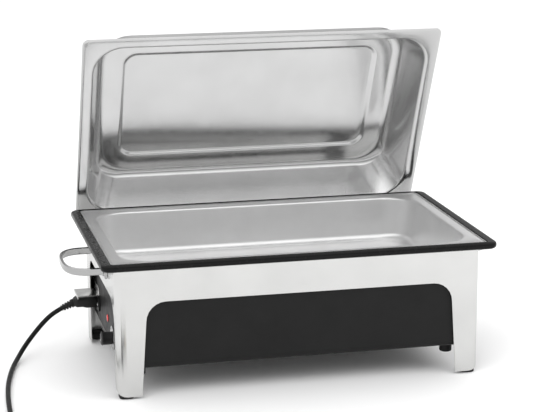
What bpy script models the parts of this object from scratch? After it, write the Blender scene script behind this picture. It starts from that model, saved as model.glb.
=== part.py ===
"""Electric buffet server: a heated water bath on a bent-steel stand, with a food pan and a hinged lid.

Run with blender --background --python part.py, or from Blender's text editor.
Units are metres. +X is the user's right, +Y is towards the hinge side, +Z is up.
While it is built, x = y = 0 is the middle of the food pan and z = 0 is the table.
The last step moves everything along Y, so that the origin lies under the middle of the whole outline.
"""
import math

import bmesh
import bpy
from mathutils import Vector

GAP = 0.0003                    # free space between pieces that touch

# food pan: a 1/1 gastronorm pan, 65 mm deep
FOOD_PAN_HALF_X = 0.265
FOOD_PAN_HALF_Y = 0.1625
FOOD_PAN_SHEET = 0.0009
FOOD_PAN_DEPTH = 0.065

# top rim
RIM_HALF_X = 0.282
RIM_HALF_Y = 0.171
RIM_TOP = 0.197
RIM_BOTTOM = 0.186
RIM_CORNER = 0.012
RIM_EDGE_RADIUS = 0.005
RIM_STEP_DEPTH = 0.0047         # from the rim's top down to its inner ledge

# water pan, hung on the ledge of the rim
LEDGE_Z = RIM_TOP - RIM_STEP_DEPTH
WATER_PAN_SHEET = 0.0008
WATER_PAN_HALF_X = FOOD_PAN_HALF_X + 0.0026
WATER_PAN_HALF_Y = FOOD_PAN_HALF_Y + 0.0026
WATER_PAN_FLANGE_Z = LEDGE_Z + GAP
WATER_PAN_BOTTOM = 0.095
FOOD_PAN_FLANGE_Z = WATER_PAN_FLANGE_Z + WATER_PAN_SHEET + GAP
FOOD_PAN_BOTTOM = FOOD_PAN_FLANGE_Z + FOOD_PAN_SHEET - FOOD_PAN_DEPTH

# stand: four bent sheets
STAND_HALF_X = RIM_HALF_X - 0.020
STAND_HALF_Y = RIM_HALF_Y - 0.017
STAND_SHEET = 0.0010
STAND_CORNER = 0.014
STAND_TOP = RIM_BOTTOM - GAP
ARCH_TOP = 0.1375
ARCH_HALF_TOP = 0.220
ARCH_HALF_FOOT = 0.227
ARCH_CORNER = 0.028
SIDE_ARCH_TOP = 0.136
SIDE_ARCH_FRONT_RADIUS = 0.040
SIDE_ARCH_REAR_RADIUS = 0.022
FRONT_SEAM_Y = -0.088
REAR_SEAM_Y = 0.080
REAR_LEG_DEPTH = 0.044
LEG_BOTTOM = 0.0035
LEG_CUT_HEIGHT = 0.022
LEG_FLAT_END = 0.246
FOOT_HALF = 0.010
FOOT_CORNER = 0.005
FOOT_TOP = 0.009

# heater housing under the water pan
HOUSING_HALF_X = 0.2531
HOUSING_HALF_Y = 0.1508
HOUSING_SHEET = 0.0008
HOUSING_CORNER = 0.018
HOUSING_BOTTOM = 0.041
HOUSING_EDGE = 0.009
HOUSING_TOP = RIM_BOTTOM + 0.002
HOUSING_FOOT_X = 0.225
HOUSING_FOOT_Y = 0.115
HOUSING_FOOT_RADIUS = 0.009
HOUSING_FOOT_BOTTOM = 0.024
WALL_X = -HOUSING_HALF_X         # outer face of the control side

# controls and supply on the left face of the housing
KNOB_Y = -0.062
KNOB_Z = 0.062
KNOB_RADIUS = 0.0092
KNOB_LENGTH = 0.0155
DIAL_RADIUS = 0.0175
DIAL_THICKNESS = 0.0015
SHAFT_RADIUS = 0.0030
LAMP_Y = -0.013
LAMP_Z = 0.077
LAMP_RADIUS = 0.0055
INLET_Y = 0.092
INLET_Z = 0.074
DRIP_GUARD_Z = 0.0875
DRIP_GUARD_REACH = 0.033
DRIP_GUARD_Y = INLET_Y - 0.004
DRIP_GUARD_HALF_WIDTH = 0.0205

# lid and hinge, drawn closed and then swung open to its rest angle
LID_HALF_X = 0.270
LID_HALF_Y = 0.168
LID_SHEET = 0.0010
LID_BOTTOM = RIM_TOP + GAP
LID_DOME_TOP = RIM_TOP + 0.069
LID_PANEL_RISE = 0.003
LID_PANEL_INSET = 0.0705
LID_PANEL_STEP = 0.0075          # width of the slope round the raised panel
LID_SHOULDER_RADIUS = 0.016
LID_SHOULDER_INSET = 0.0488      # to the middle of the shoulder's arc
LID_SHOULDER_CORNER = 0.045
LID_OPENING_CORNER = 0.048
LID_WALL_LEAN = math.radians(17)
LID_REST_OPENING = math.radians(64)
HINGE_Y = 0.164
HINGE_Z = 0.152
HINGE_X = 0.190
PIN_RADIUS = 0.0030
BARREL_RADIUS = 0.0060
ARM_THICKNESS = 0.0025
ARM_HALF_WIDTH = 0.0113
CHEEK_THICKNESS = 0.0020
LID_HANDLE_Y = -0.066
LID_HANDLE_HALF = 0.055
LID_HANDLE_RISE = 0.036
LID_HANDLE_RADIUS = 0.005

# side handles
HANDLE_HALF_Y = 0.060
HANDLE_REACH = 0.0535
HANDLE_ARM = 0.021
HANDLE_Z = 0.160
HANDLE_HALF_HEIGHT = 0.0052
HANDLE_THICKNESS = 0.0040
HANDLE_FOOT_END = 0.084

# supply cord
CORD_RADIUS = 0.0035
CORD_FLOOR_Z = CORD_RADIUS + 0.0004
CONNECTOR_END_X = -0.290
RELIEF_END = (-0.3070, INLET_Y, 0.0655)
CORD_ROUTE = (
    (-0.3073, 0.0920, 0.0653),
    (-0.3215, 0.0912, 0.0575),
    (-0.3354, 0.0880, 0.0467),
    (-0.3512, 0.0800, 0.0321),
    (-0.3658, 0.0670, 0.0188),
    (-0.3781, 0.0470, 0.0085),
    (-0.3898, 0.0120, CORD_FLOOR_Z),
    (-0.3992, -0.0370, CORD_FLOOR_Z),
    (-0.4052, -0.0830, CORD_FLOOR_Z),
    (-0.4087, -0.1280, CORD_FLOOR_Z),
    (-0.4107, -0.1740, CORD_FLOOR_Z),
    (-0.4122, -0.2200, CORD_FLOOR_Z),
    (-0.4126, -0.2520, CORD_FLOOR_Z + 0.0003),
    (-0.4120, -0.2845, CORD_FLOOR_Z + 0.0010),
)
COIL_RADIUS = 0.039
COIL_CENTRE = (-0.412 + COIL_RADIUS, -0.315)
COIL_LIFT = 0.0013               # the tie's strap runs under the coil
COIL_COLUMNS = 2
COIL_ROWS = 3
COIL_HALF_WIDTH = COIL_COLUMNS * CORD_RADIUS
COIL_TOP = COIL_LIFT + COIL_ROWS * 2 * CORD_RADIUS
PLUG_Z = 0.0185
PLUG_RADIUS = 0.0183
PLUG_START_X = COIL_CENTRE[0] + 0.0310

# middle of the outline along Y, measured without the cord
OUTLINE_MIDDLE_Y = 0.0387

STEEL = ((0.76, 0.76, 0.75), 0.22, 1.0)
POLISHED_STEEL = ((0.82, 0.82, 0.81), 0.12, 1.0)
BLACK_ENAMEL = ((0.020, 0.020, 0.021), 0.42, 0.0)
BLACK_GLOSS = ((0.018, 0.018, 0.019), 0.22, 0.0)
BLACK_RUBBER = ((0.015, 0.015, 0.015), 0.75, 0.0)
BLACK_PLASTIC = ((0.022, 0.022, 0.023), 0.50, 0.0)
RED_LENS = ((0.75, 0.02, 0.02), 0.20, 0.0)
BRASS = ((0.78, 0.57, 0.26), 0.30, 1.0)
COPPER = ((0.80, 0.42, 0.28), 0.35, 1.0)
DARK_TUBE = ((0.16, 0.15, 0.14), 0.50, 1.0)
ALUMINISED = ((0.60, 0.61, 0.62), 0.45, 1.0)
CERAMIC = ((0.80, 0.78, 0.72), 0.60, 0.0)
BLUE_WIRE = ((0.05, 0.12, 0.45), 0.50, 0.0)
BROWN_WIRE = ((0.20, 0.09, 0.04), 0.50, 0.0)


def clear_scene():
    """Remove the objects of the start-up scene."""
    for old in list(bpy.data.objects):
        bpy.data.objects.remove(old, do_unlink=True)


def finish_material(name, finish):
    """A plain Principled material from a colour, a roughness and a metallic value."""
    colour, roughness, metallic = finish
    material = bpy.data.materials.new(name + "_finish")
    material.use_nodes = True
    shader = material.node_tree.nodes["Principled BSDF"]
    shader.inputs["Base Color"].default_value = (*colour, 1.0)
    shader.inputs["Roughness"].default_value = roughness
    shader.inputs["Metallic"].default_value = metallic
    return material


def add_object(name, mesh_or_curve, finish, parent=None):
    """Link a named object with its own material. A parent's frame is the one it is drawn in."""
    piece = bpy.data.objects.new(name, mesh_or_curve)
    mesh_or_curve.materials.append(finish_material(name, finish))
    bpy.context.scene.collection.objects.link(piece)
    piece.parent = parent
    return piece


def add_mesh(name, work_mesh, finish, parent=None, smooth_angle=35):
    """Close a bmesh into an object, with its faces turned outwards."""
    bmesh.ops.recalc_face_normals(work_mesh, faces=work_mesh.faces[:])
    mesh = bpy.data.meshes.new(name)
    work_mesh.to_mesh(mesh)
    work_mesh.free()
    mesh.shade_smooth()
    mesh.set_sharp_from_angle(angle=math.radians(smooth_angle))
    return add_object(name, mesh, finish, parent)


def add_axis(name, location):
    """An empty on a joint's axis, for the pieces that move with it."""
    axis = bpy.data.objects.new(name, None)
    axis.location = location
    bpy.context.scene.collection.objects.link(axis)
    return axis


def rounded_rectangle(half_x, half_y, radius, corner_steps=5):
    """Points round a rectangle with round corners, anticlockwise in its own plane."""
    points = []
    for corner, (side_x, side_y) in enumerate(((1, 1), (-1, 1), (-1, -1), (1, -1))):
        for step in range(corner_steps + 1):
            angle = (corner + step / corner_steps) * math.pi / 2
            points.append((side_x * (half_x - radius) + radius * math.cos(angle),
                           side_y * (half_y - radius) + radius * math.sin(angle)))
    return points


def circle(radius, steps=20):
    """Points round a circle, anticlockwise."""
    return [(radius * math.cos(2 * math.pi * step / steps), radius * math.sin(2 * math.pi * step / steps))
            for step in range(steps)]


def loft(loops, closed_profile=False):
    """Skin a list of (plane points, height) loops. An open list is capped at both ends."""
    work_mesh = bmesh.new()
    rings = [[work_mesh.verts.new((x, y, height)) for x, y in points] for points, height in loops]
    pairs = list(zip(rings, rings[1:]))
    if closed_profile:
        pairs.append((rings[-1], rings[0]))
    else:
        work_mesh.faces.new(rings[0])
        work_mesh.faces.new(rings[-1])
    for lower, upper in pairs:
        count = len(lower)
        for index in range(count):
            after = (index + 1) % count
            work_mesh.faces.new((lower[index], lower[after], upper[after], upper[index]))
    return work_mesh


def arc(centre, radius, start_degrees, end_degrees, steps=3):
    """Points along an arc in a plane, from one angle to the other."""
    points = []
    for step in range(steps + 1):
        angle = math.radians(start_degrees + (end_degrees - start_degrees) * step / steps)
        points.append((centre[0] + radius * math.cos(angle), centre[1] + radius * math.sin(angle)))
    return points


def with_radius(points, radius):
    """Give each (inset, height) point of a profile the corner radius of its loop."""
    return [(inset, height, radius) for inset, height in points]


def offset_profile(profile, thickness):
    """The other face of a sheet: the profile moved to the right of its direction of travel."""
    moved = []
    for index, (inset, height, radius) in enumerate(profile):
        here = Vector((inset, height))
        normals = []
        for start, end in ((index - 1, index), (index, index + 1)):
            if start < 0 or end >= len(profile):
                continue
            along = (Vector(profile[end][:2]) - Vector(profile[start][:2])).normalized()
            normals.append(Vector((along.y, -along.x)))
        normal = sum(normals, Vector((0.0, 0.0))).normalized()
        there = here + normal * thickness / max(normal.dot(normals[0]), 0.4)
        moved.append((there.x, there.y, max(radius - (there.x - inset), 0.001)))
    return moved


def loops_from_profile(profile, half_x, half_y, corner_steps=5):
    """Turn (inset, height, corner radius) points into loops inside one outer rectangle."""
    return [(rounded_rectangle(half_x - inset, half_y - inset, radius, corner_steps), height)
            for inset, height, radius in profile]


def extrude_outline(outline, depth):
    """A straight solid from a plane outline, from height 0 to depth."""
    return loft([(outline, 0.0), (outline, depth)])


def place(piece, location, turn=None):
    """Set a piece's location, and its rotation as X, Y and Z angles in degrees."""
    piece.location = location
    if turn:
        piece.rotation_euler = [math.radians(angle) for angle in turn]
    return piece


def cut_away(piece, cutter_mesh, location, turn=None):
    """Cut a closed shape out of a piece with a Boolean modifier."""
    bmesh.ops.recalc_face_normals(cutter_mesh, faces=cutter_mesh.faces[:])
    mesh = bpy.data.meshes.new(piece.name + "_cutter")
    cutter_mesh.to_mesh(mesh)
    cutter_mesh.free()
    cutter = bpy.data.objects.new(piece.name + "_cutter", mesh)
    bpy.context.scene.collection.objects.link(cutter)
    cutter.parent = piece.parent
    place(cutter, location, turn)
    cutter.hide_render = True
    cutter.display_type = "WIRE"
    modifier = piece.modifiers.new("cut", "BOOLEAN")
    modifier.operation = "DIFFERENCE"
    modifier.solver = "EXACT"
    modifier.object = cutter


def box_loops(half_x, half_y, height, radius=0.001):
    """Loops of a straight block with slightly rounded upright edges."""
    outline = rounded_rectangle(half_x, half_y, radius, corner_steps=2)
    return [(outline, 0.0), (outline, height)]


def smooth_route(points, spacing):
    """Even points along a smooth curve through a route's own points."""
    route = [Vector(point) for point in points]
    fine = []
    for index in range(len(route) - 1):
        before = route[max(index - 1, 0)]
        after = route[min(index + 2, len(route) - 1)]
        start, end = route[index], route[index + 1]
        for step in range(20):
            t = step / 20
            fine.append(0.5 * (2 * start + (end - before) * t
                               + (2 * before - 5 * start + 4 * end - after) * t ** 2
                               + (3 * start - before - 3 * end + after) * t ** 3))
    fine.append(route[-1])
    length = sum((b - a).length for a, b in zip(fine, fine[1:]))
    count = max(round(length / spacing), 2)
    even = [fine[0]]
    travelled = 0.0
    for a, b in zip(fine, fine[1:]):
        piece_length = (b - a).length
        while len(even) < count and travelled + piece_length >= length * len(even) / count:
            even.append(a.lerp(b, (length * len(even) / count - travelled) / piece_length))
        travelled += piece_length
    even.append(fine[-1])
    return even


def add_tube(name, points, radius, finish, parent=None, bevel_resolution=3):
    """A round tube along points, as a curve with filled ends."""
    curve = bpy.data.curves.new(name, "CURVE")
    curve.dimensions = "3D"
    curve.bevel_depth = radius
    curve.bevel_resolution = bevel_resolution
    curve.use_fill_caps = True
    curve.render_resolution_u = 0
    spline = curve.splines.new("POLY")
    spline.points.add(len(points) - 1)
    for point, where in zip(spline.points, points):
        point.co = (*where, 1.0)
    return add_object(name, curve, finish, parent)


# ---------------------------------------------------------------- stand

def around_stand(distance):
    """Map a distance along the front, from its middle, to x and y on the stand's outer face."""
    side = math.copysign(1.0, distance)
    flat = STAND_HALF_X - STAND_CORNER
    beyond = abs(distance) - flat
    if beyond <= 0:
        return distance, -STAND_HALF_Y
    angle = beyond / STAND_CORNER
    if angle <= math.pi / 2:
        return (side * (flat + STAND_CORNER * math.sin(angle)),
                -STAND_HALF_Y + STAND_CORNER * (1 - math.cos(angle)))
    return side * STAND_HALF_X, -STAND_HALF_Y + STAND_CORNER + beyond - STAND_CORNER * math.pi / 2


def distance_to_depth(depth):
    """Distance along the sheet from its middle to a point that far behind its flat face."""
    return STAND_HALF_X - STAND_CORNER + STAND_CORNER * math.pi / 2 + depth - STAND_CORNER


def front_arch_half_outline():
    """Right half of the big arch, from the foot of the leg up to the middle of its top."""
    corner_centre = (ARCH_HALF_TOP - ARCH_CORNER, ARCH_TOP - ARCH_CORNER)
    return ([(LEG_FLAT_END, LEG_BOTTOM), (ARCH_HALF_FOOT, LEG_BOTTOM)]
            + arc(corner_centre, ARCH_CORNER, 0, 90, steps=6))


def front_panel_half_outline():
    """Right half of the front sheet, laid flat: top, side seam, side arch, leg, big arch."""
    seam = distance_to_depth(STAND_HALF_Y + FRONT_SEAM_Y)
    edge = distance_to_depth(STAND_CORNER)
    arch_centre = (edge + SIDE_ARCH_FRONT_RADIUS, SIDE_ARCH_TOP - SIDE_ARCH_FRONT_RADIUS)
    foot_round = [(LEG_FLAT_END + (edge - LEG_FLAT_END) * math.cos(angle),
                   LEG_CUT_HEIGHT - (LEG_CUT_HEIGHT - LEG_BOTTOM) * math.sin(angle))
                  for angle in (math.radians(15 * step) for step in range(6))]
    return ([(seam, STAND_TOP), (seam, SIDE_ARCH_TOP)]
            + arc(arch_centre, SIDE_ARCH_FRONT_RADIUS, 90, 180, steps=6)
            + foot_round + front_arch_half_outline())


def rear_panel_half_outline():
    """Half of the rear sheet, laid flat: its legs are also wide on their side faces."""
    seam = distance_to_depth(STAND_HALF_Y - REAR_SEAM_Y)
    edge = distance_to_depth(REAR_LEG_DEPTH)
    bend_end = distance_to_depth(STAND_CORNER)
    arch_centre = (edge + SIDE_ARCH_REAR_RADIUS, SIDE_ARCH_TOP - SIDE_ARCH_REAR_RADIUS)
    notch_height = LEG_BOTTOM + 0.0045
    return ([(seam, STAND_TOP), (seam, SIDE_ARCH_TOP)]
            + arc(arch_centre, SIDE_ARCH_REAR_RADIUS, 90, 180, steps=5)
            + [(edge, LEG_BOTTOM), (bend_end + 0.004, LEG_BOTTOM), (bend_end, notch_height),
               (LEG_FLAT_END + 0.004, notch_height)]
            + front_arch_half_outline())


def bent_panel(name, half_outline, turned):
    """Fold a flat symmetric outline round the stand's corners and give it its thickness."""
    outline = half_outline + [(-distance, height) for distance, height in reversed(half_outline)]
    work_mesh = bmesh.new()
    work_mesh.faces.new([work_mesh.verts.new((distance, 0.0, height)) for distance, height in outline])
    bend_start = STAND_HALF_X - STAND_CORNER
    for side in (-1, 1):
        for step in range(7):
            cut_at = side * (bend_start + STAND_CORNER * math.pi / 2 * step / 6)
            everything = work_mesh.verts[:] + work_mesh.edges[:] + work_mesh.faces[:]
            bmesh.ops.bisect_plane(work_mesh, geom=everything, dist=0.0000001,
                                   plane_co=(cut_at, 0, 0), plane_no=(1, 0, 0))
    facing = -1.0 if turned else 1.0
    for vertex in work_mesh.verts:
        x, y = around_stand(vertex.co.x)
        vertex.co = (facing * x, facing * y, vertex.co.z)
    panel = add_mesh(name, work_mesh, STEEL)
    outward = Vector((0.0, -facing, 0.0))
    middle = max(panel.data.polygons, key=lambda face: face.area)
    if middle.normal.dot(outward) < 0:
        panel.data.flip_normals()
    sheet = panel.modifiers.new("sheet", "SOLIDIFY")
    sheet.thickness = STAND_SHEET
    sheet.offset = -1.0
    sheet.use_even_offset = True
    return panel


def side_band(name, side):
    """The flat strip of the stand between its front and rear sheets."""
    half_length = (REAR_SEAM_Y - FRONT_SEAM_Y) / 2 - GAP
    height = STAND_TOP - SIDE_ARCH_TOP
    outline = rounded_rectangle(half_length, height / 2, 0.0005, corner_steps=1)
    band = add_mesh(name, extrude_outline(outline, STAND_SHEET), STEEL)
    inner_face = STAND_HALF_X - STAND_SHEET
    place(band, (side * inner_face, (REAR_SEAM_Y + FRONT_SEAM_Y) / 2, SIDE_ARCH_TOP + height / 2),
          (90, 0, 90 * side))


def rubber_feet():
    """One rubber block inside the corner of each leg."""
    centre_x = STAND_HALF_X - 0.0040 - FOOT_HALF
    centre_y = STAND_HALF_Y - 0.0030 - FOOT_HALF
    soft = 0.001
    outline = rounded_rectangle(FOOT_HALF, FOOT_HALF, FOOT_CORNER, corner_steps=4)
    narrow = rounded_rectangle(FOOT_HALF - soft, FOOT_HALF - soft, FOOT_CORNER - soft, corner_steps=4)
    for x_name, x in (("left", -centre_x), ("right", centre_x)):
        for y_name, y in (("front", -centre_y), ("rear", centre_y)):
            loops = [(narrow, 0.0), (outline, soft), (outline, FOOT_TOP)]
            foot = add_mesh("foot_" + y_name + "_" + x_name, loft(loops), BLACK_RUBBER)
            place(foot, (x, y, 0.0))


def stand():
    """The bent-steel stand and its feet."""
    bent_panel("stand_front_panel", front_panel_half_outline(), turned=False)
    bent_panel("stand_rear_panel", rear_panel_half_outline(), turned=True)
    side_band("stand_left_band", -1)
    side_band("stand_right_band", 1)
    rubber_feet()


# ---------------------------------------------------------------- rim and pans

def rim_frame():
    """The rim: a bead round its outside and a ledge for the water pan inside."""
    bead = RIM_EDGE_RADIUS
    lower = arc((bead, RIM_BOTTOM + bead), bead, 270, 180, steps=3)
    upper = arc((bead, RIM_TOP - bead), bead, 180, 90, steps=3)
    outside = [(rounded_rectangle(RIM_HALF_X - inset, RIM_HALF_Y - inset, RIM_CORNER - inset * 0.6), height)
               for inset, height in lower + upper]
    step_x = WATER_PAN_HALF_X + 0.0010
    step_y = WATER_PAN_HALF_Y + 0.0010
    hole_x = HOUSING_HALF_X + 0.0029
    hole_y = HOUSING_HALF_Y + 0.0008
    inside = [(rounded_rectangle(step_x, step_y, 0.006), RIM_TOP),
              (rounded_rectangle(step_x, step_y, 0.006), LEDGE_Z),
              (rounded_rectangle(hole_x, hole_y, 0.019), LEDGE_Z),
              (rounded_rectangle(hole_x, hole_y, 0.019), RIM_BOTTOM)]
    add_mesh("rim_frame", loft(outside + inside, closed_profile=True), BLACK_GLOSS)


def water_pan():
    """The deep water pan, with an upturned edge that keeps the food pan in place."""
    bottom, flange = WATER_PAN_BOTTOM, WATER_PAN_FLANGE_Z
    under = (with_radius(arc((0.0286, bottom + 0.010), 0.010, 270, 180), 0.034)
             + [(0.0165, flange - 0.004, 0.038), (0.0157, flange - 0.0014, 0.0385),
                (0.0132, flange, 0.039), (0.0, flange, 0.007), (0.0, flange + 0.0028, 0.007)])
    profile = under + offset_profile(under, WATER_PAN_SHEET)[::-1]
    add_mesh("water_pan", loft(loops_from_profile(profile, WATER_PAN_HALF_X, WATER_PAN_HALF_Y)), STEEL)


def food_pan():
    """The lift-out food pan."""
    bottom, flange = FOOD_PAN_BOTTOM - FOOD_PAN_SHEET, FOOD_PAN_FLANGE_Z
    under = (with_radius(arc((0.033, bottom + 0.012), 0.012, 270, 180), 0.040)
             + with_radius(arc((0.0119, flange - 0.0034), 0.0034, 0, 90), 0.047)
             + [(0.0, flange, 0.009)])
    profile = under + offset_profile(under, FOOD_PAN_SHEET)[::-1]
    loops = loops_from_profile(profile, FOOD_PAN_HALF_X, FOOD_PAN_HALF_Y, corner_steps=6)
    add_mesh("food_pan", loft(loops), STEEL)


# ---------------------------------------------------------------- heater housing

def heater_housing():
    """The black case, open at the top, with an inward flange round its bottom opening."""
    edge, bottom = HOUSING_EDGE, HOUSING_BOTTOM
    outer = ([(0.0, HOUSING_TOP, HOUSING_CORNER)]
             + with_radius(arc((edge, bottom + edge), edge, 180, 270, steps=4), HOUSING_CORNER)
             + [(0.040, bottom, 0.010)])
    inner = [(inset, height, radius) for inset, height, radius in offset_profile(outer, -HOUSING_SHEET)]
    profile = outer + inner[::-1]
    loops = loops_from_profile(profile, HOUSING_HALF_X, HOUSING_HALF_Y)
    housing = add_mesh("heater_housing", loft(loops, closed_profile=True), BLACK_ENAMEL)
    through = 0.010
    for radius, y, z in ((SHAFT_RADIUS + 0.0008, KNOB_Y, KNOB_Z), (LAMP_RADIUS - 0.0005, LAMP_Y, LAMP_Z)):
        cut_away(housing, extrude_outline(circle(radius), through),
                 (WALL_X - through / 2, y, z), (0, 90, 0))
    cut_away(housing, extrude_outline(rounded_rectangle(0.0105, 0.0141, 0.002, 2), through),
             (WALL_X - through / 2, INLET_Y, INLET_Z), (0, 90, 0))


def housing_bottom():
    """The service plate that closes the case, and the case's four feet."""
    plate_outline = rounded_rectangle(0.222, 0.120, 0.012)
    plate = add_mesh("housing_bottom_plate", extrude_outline(plate_outline, 0.0010), BLACK_ENAMEL)
    place(plate, (0, 0, HOUSING_BOTTOM + HOUSING_SHEET + GAP))
    height = HOUSING_BOTTOM - GAP - HOUSING_FOOT_BOTTOM
    for x_name, x in (("left", -HOUSING_FOOT_X), ("right", HOUSING_FOOT_X)):
        for y_name, y in (("front", -HOUSING_FOOT_Y), ("rear", HOUSING_FOOT_Y)):
            loops = [(circle(HOUSING_FOOT_RADIUS - 0.001, 16), 0.0), (circle(HOUSING_FOOT_RADIUS, 16), 0.001),
                     (circle(HOUSING_FOOT_RADIUS, 16), height)]
            foot = add_mesh("housing_foot_" + y_name + "_" + x_name, loft(loops), BLACK_RUBBER)
            place(foot, (x, y, HOUSING_FOOT_BOTTOM))


def heating_parts():
    """Two bent tubular elements, the bars that hold them up, and the shield under them."""
    tube_radius = 0.004
    tube_z = WATER_PAN_BOTTOM - 0.0006 - tube_radius
    bend_radius = 0.030
    for name, side in (("heating_element_front", -1), ("heating_element_rear", 1)):
        bend = [(x, side * y, tube_z) for x, y in arc((0.185, 0.070), bend_radius, -90, 90, steps=10)]
        points = [(-0.205, side * 0.040, tube_z)] + bend + [(-0.205, side * 0.100, tube_z)]
        add_tube(name, points, tube_radius, DARK_TUBE, bevel_resolution=2)
    clamp_top = tube_z - tube_radius - GAP
    for name, x in (("element_clamp_left", -0.110), ("element_clamp_right", 0.110)):
        clamp = add_mesh(name, loft(box_loops(0.006, 0.112, 0.0015)), ALUMINISED)
        place(clamp, (x, 0, clamp_top - 0.0015))
    shield = add_mesh("heat_shield", loft(box_loops(0.220, 0.130, 0.0008, 0.010)), ALUMINISED)
    place(shield, (0, 0, 0.0785))
    limiter = add_mesh("safety_limiter", extrude_outline(circle(0.008, 16), 0.010), BLACK_PLASTIC)
    place(limiter, (-0.160, 0.0, WATER_PAN_BOTTOM - GAP - 0.010))


def thermostat(knob_axis):
    """Thermostat inside the case, its sensor under the water pan, its dial, shaft and knob outside."""
    body_depth = 0.026
    body = add_mesh("thermostat_body", loft(box_loops(0.0115, 0.017, body_depth, 0.002)), BLACK_PLASTIC)
    place(body, (WALL_X + HOUSING_SHEET + GAP, KNOB_Y, KNOB_Z), (0, 90, 0))
    sensor_z = WATER_PAN_BOTTOM - GAP - 0.003
    add_tube("thermostat_sensor", [(-0.222, -0.040, sensor_z), (-0.222, 0.040, sensor_z)], 0.003, COPPER)
    capillary = smooth_route(((-0.238, KNOB_Y, KNOB_Z + 0.0120), (-0.238, KNOB_Y, 0.084),
                              (-0.232, -0.053, 0.0905), (-0.222, -0.0405, sensor_z)), 0.004)
    add_tube("thermostat_capillary", capillary, 0.0008, COPPER, bevel_resolution=2)

    hole = SHAFT_RADIUS + 0.0008
    dial_loops = [(circle(hole, 28), 0.0), (circle(DIAL_RADIUS, 28), 0.0),
                  (circle(DIAL_RADIUS, 28), DIAL_THICKNESS - 0.0004),
                  (circle(DIAL_RADIUS - 0.0005, 28), DIAL_THICKNESS), (circle(hole, 28), DIAL_THICKNESS)]
    dial = add_mesh("dial_plate", loft(dial_loops, closed_profile=True), STEEL)
    place(dial, (WALL_X - GAP, KNOB_Y, KNOB_Z), (0, -90, 0))

    knob_back = GAP + DIAL_THICKNESS + GAP
    shaft_start = -HOUSING_SHEET + 0.0001
    shaft_length = knob_back + 0.011 - shaft_start
    shaft = add_mesh("thermostat_shaft", extrude_outline(circle(SHAFT_RADIUS, 16), shaft_length), BRASS,
                     knob_axis)
    place(shaft, (-shaft_start, 0, 0), (0, -90, 0))
    knob = add_mesh("thermostat_knob", knob_mesh(), BLACK_PLASTIC, knob_axis)
    place(knob, (-knob_back, 0, 0), (0, -90, 0))
    ring_loops = [(circle(KNOB_RADIUS + 0.0003, 28), 0.0), (circle(KNOB_RADIUS + 0.0008, 28), 0.0002),
                  (circle(KNOB_RADIUS + 0.0008, 28), 0.0007), (circle(KNOB_RADIUS + 0.0003, 28), 0.0009)]
    ring = add_mesh("knob_ring", loft(ring_loops, closed_profile=True), POLISHED_STEEL, knob_axis)
    place(ring, (-knob_back - KNOB_LENGTH + 0.0021, 0, 0), (0, -90, 0))


def fluted_circle(radius, depth, steps):
    """Points round a circle, with every second one sunk by the depth of the flutes."""
    points = []
    for step, (x, y) in enumerate(circle(radius, steps)):
        share = 1 - depth * (step % 2) / radius
        points.append((x * share, y * share))
    return points


def knob_mesh():
    """A round knob with fine flutes and a blind hole for the shaft."""
    steps = 36
    hole = circle(SHAFT_RADIUS + GAP, steps)
    plain = circle(KNOB_RADIUS, steps)
    fluted = fluted_circle(KNOB_RADIUS, 0.0003, steps)
    end = circle(KNOB_RADIUS - 0.0010, steps)
    return loft([(hole, 0.0115), (hole, 0.0), (plain, 0.0), (plain, 0.0012), (fluted, 0.0016),
                 (fluted, KNOB_LENGTH - 0.0044), (plain, KNOB_LENGTH - 0.0036),
                 (plain, KNOB_LENGTH - 0.0010), (end, KNOB_LENGTH)])


def indicator_lamp():
    """The red lamp: a domed lens outside and a body through the wall."""
    dome = [(circle(LAMP_RADIUS * math.cos(angle), 16), 0.0005 + 0.0009 * math.sin(angle))
            for angle in (math.radians(20 * step) for step in range(4))]
    lens = add_mesh("lamp_lens", loft([(circle(LAMP_RADIUS, 16), 0.0)] + dome), RED_LENS)
    place(lens, (WALL_X - GAP, LAMP_Y, LAMP_Z), (0, -90, 0))
    body = add_mesh("lamp_body", extrude_outline(circle(LAMP_RADIUS - 0.0008, 16), 0.024), BLACK_PLASTIC)
    place(body, (WALL_X, LAMP_Y, LAMP_Z), (0, 90, 0))


def supply_inlet():
    """The appliance inlet with its socket, its two screws and the wires behind it."""
    reach = 0.0022
    depth = 0.022
    cavity = rounded_rectangle(0.0082, 0.0122, 0.003, 3)
    body = rounded_rectangle(0.0100, 0.0136, 0.002, 3)
    plate = rounded_rectangle(0.0115, 0.0250, 0.005, 3)
    loops = [(cavity, depth - 0.003), (cavity, -reach), (plate, -reach), (plate, 0.0),
             (body, 0.0), (body, depth)]
    inlet = add_mesh("supply_inlet", loft(loops), BLACK_PLASTIC)
    place(inlet, (WALL_X - GAP, INLET_Y, INLET_Z), (0, 90, 0))
    for name, side in (("inlet_screw_front", -1), ("inlet_screw_rear", 1)):
        head = [(circle(0.0026, 12), 0.0), (circle(0.0026, 12), 0.0008), (circle(0.0016, 12), 0.0014)]
        screw = add_mesh(name, loft(head), STEEL)
        place(screw, (WALL_X - GAP - reach - GAP, INLET_Y + side * 0.020, INLET_Z), (0, -90, 0))
    block_top = 0.058
    block = add_mesh("terminal_block", loft(box_loops(0.012, 0.022, block_top - 0.0434, 0.0015)), CERAMIC)
    place(block, (-0.196, INLET_Y, 0.0434))
    rear_x = WALL_X - GAP + depth + GAP
    for name, offset, finish in (("wire_live", -0.006, BROWN_WIRE), ("wire_neutral", 0.006, BLUE_WIRE)):
        route = smooth_route(((rear_x, INLET_Y + offset, INLET_Z), (-0.222, INLET_Y + offset, INLET_Z),
                              (-0.206, INLET_Y + offset, 0.070),
                              (-0.200, INLET_Y + offset, block_top + 0.005),
                              (-0.200, INLET_Y + offset, block_top + 2 * GAP)), 0.004)
        add_tube(name, route, 0.0012, finish, bevel_resolution=2)


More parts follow.
